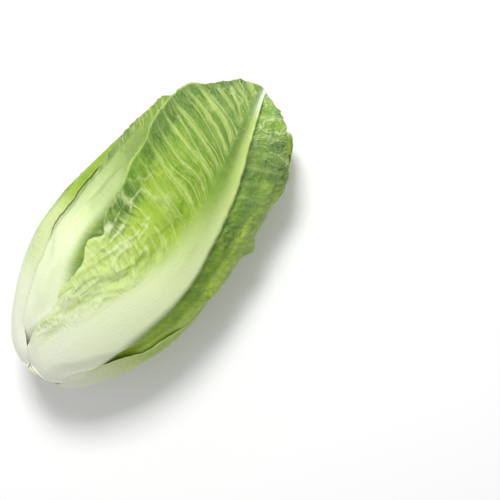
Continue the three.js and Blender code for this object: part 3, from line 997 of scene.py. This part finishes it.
# %% [markdown]
# ## The stem
#
# The leaves grow from a short solid stem, which shows only at the butt, where the heart
# was cut from its root. A disc is extruded along the heart, narrower with each step. The
# cut face is inset ring by ring, and the rings are set a little in and out, because a cut
# stem dries and shrinks unevenly.

# %% The stem
CUT_PLACE = 3.4
STEM_RINGS = [(6, 10.3), (10, 10.4), (18, 8.6), (26, 6.7), (34, 4.9), (42, 3.2), (STEM_TOP, 1.4)]
CUT_RADIUS = 9.9
CUT_RINGS = [(0.5, -0.45), (1.1, 0.1), (1.9, 0.25), (2.6, -0.15), (1.6, 0.3)]

bpy.ops.mesh.primitive_circle_add(vertices=72, radius=CUT_RADIUS, fill_type="NGON")
stem = bpy.context.object
stem.name = "stem_skin"
stem.data.name = "stem_skin"
bpy.ops.object.mode_set(mode="EDIT")
bpy.ops.mesh.select_all(action="SELECT")
bpy.ops.transform.rotate(value=math.pi / 2, orient_axis="Y", center_override=(0, 0, 0))
bpy.ops.transform.translate(value=(CUT_PLACE, 0, 0))
place, radius = CUT_PLACE, CUT_RADIUS
for next_place, next_radius in STEM_RINGS:
    bpy.ops.mesh.extrude_region_move(TRANSFORM_OT_translate={"value": (next_place - place, 0, 0)})
    shrink = next_radius / radius
    bpy.ops.transform.resize(value=(1, shrink, shrink), center_override=(0, 0, 0))
    place, radius = next_place, next_radius
bpy.ops.object.mode_set(mode="OBJECT")
cut = min(stem.data.polygons, key=lambda face: face.center.x)
for face in stem.data.polygons:
    face.select = face == cut
bpy.ops.object.mode_set(mode="EDIT")
bpy.ops.mesh.select_mode(type="FACE")
for thickness, sink in CUT_RINGS:
    bpy.ops.mesh.inset(thickness=thickness, depth=-sink)
bpy.ops.mesh.poke()
bpy.ops.mesh.select_all(action="SELECT")
bpy.ops.mesh.normals_make_consistent(inside=False)
bpy.ops.object.mode_set(mode="OBJECT")
bpy.ops.object.shade_smooth_by_angle(angle=SMOOTH_ANGLE)
stem_points = in_metres(points_of(stem))
stem.data.vertices.foreach_set("co", stem_points.ravel())
stem.data.update()
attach(stem, "root")
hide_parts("stem")
print("stem faces:", len(stem.data.polygons))

# %% [markdown]
# ## The finish of a leaf
#
# A lettuce leaf is a soft, wet, slightly waxy skin over pale watery tissue. A finish is a
# tree of nodes, each of which takes numbers or colours in and gives one out. These helpers
# add one kind of node each, so that the finishes further down read like sums.

# %% Node helpers
def srgb(*channels):
    """A colour as seen on a screen, 0 to 255, brought to the linear values that nodes take."""
    shares = [c / 255 for c in channels]
    return tuple(c / 12.92 if c <= 0.04045 else ((c + 0.055) / 1.055) ** 2.4 for c in shares) + (1,)


def feed(tree, node, inputs):
    """Gives a node's inputs plain values or the outputs of other nodes."""
    for socket, value in inputs.items():
        if isinstance(value, (int, float, tuple)):
            node.inputs[socket].default_value = value
        else:
            tree.links.new(value, node.inputs[socket])


def add_node(tree, kind, inputs, **settings):
    """A node of this kind, fed with these inputs."""
    made = tree.nodes.new(kind)
    for key, value in settings.items():
        setattr(made, key, value)
    feed(tree, made, inputs)
    return made


def new_material(name):
    """A new material, its tree of nodes and its shader."""
    material = bpy.data.materials.new(name)
    material.use_nodes = True
    return material, material.node_tree, material.node_tree.nodes["Principled BSDF"]


def read(tree, name, output="Fac"):
    """What is kept with each point under this name."""
    return add_node(tree, "ShaderNodeAttribute", {}, attribute_name=name).outputs[output]


def maths(tree, kind, a, b):
    """One sum of two values, each a number or a socket."""
    return add_node(tree, "ShaderNodeMath", {0: a, 1: b}, operation=kind).outputs[0]


def times(tree, a, b):
    return maths(tree, "MULTIPLY", a, b)


def total(tree, *parts):
    """The sum of sockets, each times its weight."""
    summed = 0.0
    for socket, weight in parts:
        summed = maths(tree, "ADD", times(tree, socket, weight), summed)
    return summed


def mix(tree, share, a, b):
    """Two colours mixed."""
    return add_node(tree, "ShaderNodeMix", {0: share, 6: a, 7: b}, data_type="RGBA").outputs[2]


def ramp(tree, share, stops):
    """A run of colours along a number from 0 to 1."""
    made = add_node(tree, "ShaderNodeValToRGB", {0: share})
    elements = made.color_ramp.elements
    for place, _ in stops[1:-1]:
        elements.new(place)
    for element, (place, colour) in zip(elements, stops):
        element.position = place
        element.color = colour
    return made.outputs[0]


def stretched(tree, place, scale):
    """Places scaled along and across the leaf, which draws a pattern out the other way."""
    return add_node(tree, "ShaderNodeMapping", {"Vector": place, "Scale": scale}).outputs[0]


def noise(tree, place, scale, detail, output="Fac"):
    """Soft noise, from 0 to 1, as a number or as a colour."""
    inputs = {"Vector": place, "Scale": scale, "Detail": detail}
    return add_node(tree, "ShaderNodeTexNoise", inputs).outputs[output]


def bump(tree, height, strength, distance):
    """A normal that makes the skin look uneven by this height."""
    inputs = {"Height": height, "Strength": strength, "Distance": distance}
    return add_node(tree, "ShaderNodeBump", inputs).outputs[0]


# %% [markdown]
# ## Fine patterns in the tissue
#
# Between the veins that are part of the mesh run finer ones: a net around the cells of the
# tissue, long lines that follow the side veins, and pale threads. Most of them are the
# borders of random cells, stretched along the veins and pushed about a little by noise.

# %% Fine patterns in the tissue
def warped(tree, place, by, scale, amount):
    """Places pushed about by soft noise, so that a pattern on them is less regular."""
    push = {0: noise(tree, by, scale, 2, "Color"), "Scale": amount}
    scaled = add_node(tree, "ShaderNodeVectorMath", push, operation="SCALE").outputs[0]
    return add_node(tree, "ShaderNodeVectorMath", {0: place, 1: scaled}, operation="ADD").outputs[0]


def borders(tree, place, scale, width):
    """Thin lines along the borders of random cells, 1 on the line and 0 beside it."""
    cell = add_node(
        tree, "ShaderNodeTexVoronoi", {"Vector": stretched(tree, place, scale), "Scale": 1},
        feature="DISTANCE_TO_EDGE", voronoi_dimensions="2D",
    )
    limits = {"Value": cell.outputs["Distance"], "From Max": width, "To Min": 1, "To Max": 0}
    return add_node(tree, "ShaderNodeMapRange", limits, interpolation_type="SMOOTHSTEP").outputs[0]


def leaf_patterns(tree):
    """All fine patterns of a leaf, and the places that they are drawn on."""
    lay = read(tree, "lay", "Vector")
    flow = read(tree, "flow", "Vector")
    bent_flow = warped(tree, flow, lay, 0.3, 5)
    side_lines = borders(tree, flow, (0.13, 0.009, 1), 0.05)
    fine_lines = borders(tree, bent_flow, (0.42, 0.03, 1), 0.11)
    return dict(
        lay=lay,
        net=borders(tree, bent_flow, (0.42, 0.19, 1), 0.07),
        coarse_net=borders(tree, bent_flow, (0.17, 0.09, 1), 0.04),
        lines=times(tree, total(tree, (side_lines, 1), (fine_lines, 0.35)), read(tree, "thread")),
        threads=noise(tree, stretched(tree, flow, (2.4, 0.14, 1)), 1, 5),
        fibres=noise(tree, stretched(tree, lay, (0.05, 1.1, 1)), 1, 3),
        puckers=noise(tree, stretched(tree, flow, (0.55, 0.16, 1)), 1, 3),
        patches=noise(tree, lay, 0.11, 3),
        grain=noise(tree, lay, 0.9, 4),
    )


# %% [markdown]
# ## The colours of a leaf
#
# The blade's colour is picked from a run of greens by how deep the green is at a point.
# Bloom with painted sheen, a painted highlight on the tops of the blisters, veins, lines,
# threads and lace are then mixed over it one after another. The rib has a run of its own,
# from white at the butt to pale green near the tip and white again at its very end, a
# painted highlight where it bends over the tip, and how pale a point is decides between
# the two.

# %% The colours of a leaf
RIB_COLOURS = [
    (0.0, srgb(236, 236, 226)),
    (0.25, srgb(216, 226, 190)),
    (0.5, srgb(206, 220, 162)),
    (0.75, srgb(182, 206, 110)),
    (0.9, srgb(184, 206, 114)),
    # the rib's very end turns white: a painted highlight where it bends over the tip towards the lamp
    (0.97, srgb(236, 246, 220)),
    (1.0, srgb(240, 248, 226)),
]
BLADE_COLOURS = [
    (0.0, srgb(194, 212, 124)),
    (0.25, srgb(166, 194, 58)),
    (0.5, srgb(136, 170, 24)),
    (0.75, srgb(100, 138, 4)),
    (1.0, srgb(64, 102, 0)),
]
# grey-green of the dull bloom, also used as painted sheen on the front leaf's right strip
BLOOM_AND_SHEEN_COLOUR = srgb(136, 164, 112)
VEIN_COLOUR = srgb(194, 214, 122)
LINE_COLOUR = srgb(206, 224, 136)
LACE_COLOUR = srgb(206, 222, 176)
RIM_COLOUR = srgb(190, 212, 118)
FIBRE_COLOUR = srgb(196, 210, 150)
RIB_END = 195  # where on the leaf the rib's run of colours ends, in millimetres


def leaf_colour(tree, pattern):
    """The colour of the tissue at each point."""
    uneven = times(tree, maths(tree, "SUBTRACT", pattern["patches"], 0.5), 0.45)
    colour = ramp(tree, maths(tree, "ADD", read(tree, "green"), uneven), BLADE_COLOURS)
    light = maths(tree, "MAXIMUM", maths(tree, "SUBTRACT", pattern["threads"], 0.52), 0)
    lace = total(tree, (pattern["coarse_net"], 1), (pattern["net"], 0.6))
    for share, strength, tint in (
        (read(tree, "bloom_and_sheen"), 0.55, BLOOM_AND_SHEEN_COLOUR),
        # the tops of the blisters lightened a little: a painted highlight
        (read(tree, "dome"), 0.08, VEIN_COLOUR),
        (pattern["net"], 0.1, VEIN_COLOUR),
        (pattern["coarse_net"], 0.15, VEIN_COLOUR),
        (read(tree, "vein"), 0.5, VEIN_COLOUR),
        (pattern["lines"], 0.45, LINE_COLOUR),
        (times(tree, light, read(tree, "thread")), 2.6, VEIN_COLOUR),
        (times(tree, lace, read(tree, "lace")), 0.8, LACE_COLOUR),
    ):
        colour = mix(tree, times(tree, share, strength), colour, tint)
    split = add_node(tree, "ShaderNodeSeparateXYZ", {0: pattern["lay"]})
    rib = ramp(tree, maths(tree, "DIVIDE", split.outputs[0], RIB_END), RIB_COLOURS)
    rib = mix(tree, times(tree, pattern["fibres"], 0.35), rib, FIBRE_COLOUR)
    colour = mix(tree, read(tree, "pale"), colour, rib)
    return mix(tree, times(tree, read(tree, "rim"), 0.6), colour, RIM_COLOUR)


# %% [markdown]
# ## The skin of a leaf
#
# The finest relief is left to a bump, because it is far smaller than the squares of the
# mesh. Light goes a little way into the tissue and comes out again, which a small share
# of subsurface scattering gives. The domes are a little smoother than the rest, so they
# catch the light.

# %% The skin of a leaf
LEAF_ROUGHNESS = 0.26


def leaf_relief(tree, pattern):
    """The finest relief: strong on green tissue, faint on the rib."""
    green_part = maths(tree, "SUBTRACT", 1, read(tree, "pale"))
    tissue = maths(tree, "MAXIMUM", green_part, read(tree, "thread"))
    net = maths(tree, "ADD", pattern["net"], pattern["coarse_net"])
    height = total(
        tree,
        (pattern["grain"], 0.6),
        (pattern["fibres"], 0.4),
        (times(tree, net, green_part), 0.3),
        (pattern["lines"], 0.8),
        (times(tree, pattern["threads"], tissue), 2.0),
        (times(tree, pattern["puckers"], tissue), 2.2),
    )
    return bump(tree, height, 0.6, 0.0006)


leaf_finish, tree, shader = new_material("leaf_finish")
pattern = leaf_patterns(tree)
rougher = total(tree, (pattern["grain"], 0.25), (read(tree, "dome"), -0.1))
feed(tree, shader, {
    "Base Color": leaf_colour(tree, pattern),
    "Normal": leaf_relief(tree, pattern),
    "Roughness": maths(tree, "ADD", rougher, LEAF_ROUGHNESS),
    "Specular IOR Level": 0.32,
    "Subsurface Weight": 0.12,
    "Subsurface Radius": (0.5, 0.7, 0.2),
    "Subsurface Scale": 0.004,
})
for skin in skins:
    skin.data.materials.append(leaf_finish)
print("nodes in the leaves' finish:", len(tree.nodes))

# %% [markdown]
# ## The finish of the stem
#
# The cut face is pale watery flesh that browns in rings, as the vessels in it dry. The
# distance from the stem's middle line picks the colour, and noise makes the rings uneven.

# %% The finish of the stem
FLESH_COLOURS = [
    (0.0, srgb(222, 222, 190)),
    (0.4, srgb(228, 228, 200)),
    (0.62, srgb(204, 188, 142)),
    (0.7, srgb(222, 216, 180)),
    (0.88, srgb(206, 180, 128)),
    (1.0, srgb(214, 214, 176)),
]
CENTIMETRES = 100

stem_finish, tree, shader = new_material("stem_finish")
place = add_node(tree, "ShaderNodeTexCoord", {}).outputs["Object"]
centred = add_node(tree, "ShaderNodeMapping", {"Vector": place, "Location": tuple(-PLACE)}).outputs[0]
split = add_node(tree, "ShaderNodeSeparateXYZ", {0: centred})
squares = [maths(tree, "POWER", times(tree, split.outputs[i], CENTIMETRES), 2) for i in (1, 2)]
radius = maths(tree, "POWER", maths(tree, "ADD", *squares), 0.5)
specks = noise(tree, centred, 700, 4)
uneven = times(tree, maths(tree, "SUBTRACT", specks, 0.5), 0.35)
feed(tree, shader, {
    "Base Color": ramp(tree, maths(tree, "ADD", radius, uneven), FLESH_COLOURS),
    "Normal": bump(tree, specks, 0.5, 0.0004),
    "Roughness": 0.55,
    "Subsurface Weight": 0.1,
    "Subsurface Scale": 0.003,
})
stem.data.materials.append(stem_finish)
print("nodes in the stem's finish:", len(tree.nodes))

# %% [markdown]
# ## The table it lies on
#
# The heart lies on plain white paper, wide enough that no edge of it shows. A soft white
# world lights it from all sides.

# %% Floor and world
bpy.ops.mesh.primitive_plane_add(size=6)
floor = bpy.context.object
floor.name = "floor"
paper, tree, shader = new_material("paper_white")
feed(tree, shader, {"Base Color": (0.85, 0.85, 0.85, 1), "Roughness": 0.9})
floor.data.materials.append(paper)
floor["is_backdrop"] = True

world = bpy.data.worlds.new("studio")
bpy.context.scene.world = world
world.use_nodes = True
background = world.node_tree.nodes["Background"]
background.inputs["Color"].default_value = (1, 1, 1, 1)
background.inputs["Strength"].default_value = 0.6
bpy.context.scene.view_settings.view_transform = "Standard"
print("floor:", floor.name, "world:", world.name)

# %% [markdown]
# ## Light and camera
#
# The camera looks straight down and is turned so that the heart leans to the upper right.
# One soft lamp stands beyond the picture's top, a little to the left. How far away the
# camera is follows from the size that one pixel has on the heart.

# %% Light and camera
RIGHT = Vector((0.6157, -0.7880, 0))  # the picture's right, as a direction on the table
UP = Vector((0.7880, 0.6157, 0))
AIM = Vector((0.0246, -0.0469, 0.04))
LAMP_PLACE = AIM - 0.12 * RIGHT + 0.45 * UP + Vector((0, 0, 0.75))
LAMP_SIZE = 0.25
LAMP_POWER = 7.0
LENS = 90
SENSOR = 36
PICTURE_WIDTH = 500
PIXEL = 0.0005234  # metres to a pixel, at the height that the camera looks at

bpy.ops.object.light_add(type="AREA", location=LAMP_PLACE)
lamp = bpy.context.object
lamp.name = "key"
lamp.data.energy = LAMP_POWER
lamp.data.size = LAMP_SIZE
lamp.rotation_euler = (AIM - LAMP_PLACE).to_track_quat("-Z", "Y").to_euler()

distance = PICTURE_WIDTH * PIXEL * LENS / SENSOR
bpy.ops.object.camera_add(location=AIM + Vector((0, 0, distance)))
camera = bpy.context.object
camera.data.lens = LENS
camera.data.sensor_width = SENSOR
camera.rotation_euler = (0, 0, math.atan2(RIGHT.y, RIGHT.x))
bpy.context.scene.camera = camera
print("the camera is", round(distance, 3), "m above the place it looks at")

# %% [markdown]
# ## How large it came out
#
# The fine leaves should be as large as the solids, or a hair larger where they are
# crumpled. Both boxes are kept, so that they can be compared.

# %% Sizes
skin_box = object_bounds()
for title, box in (("finished heart", skin_box), ("solids", cad_box)):
    print(title, "measures", [round(high - low, 4) for low, high in zip(*box)])
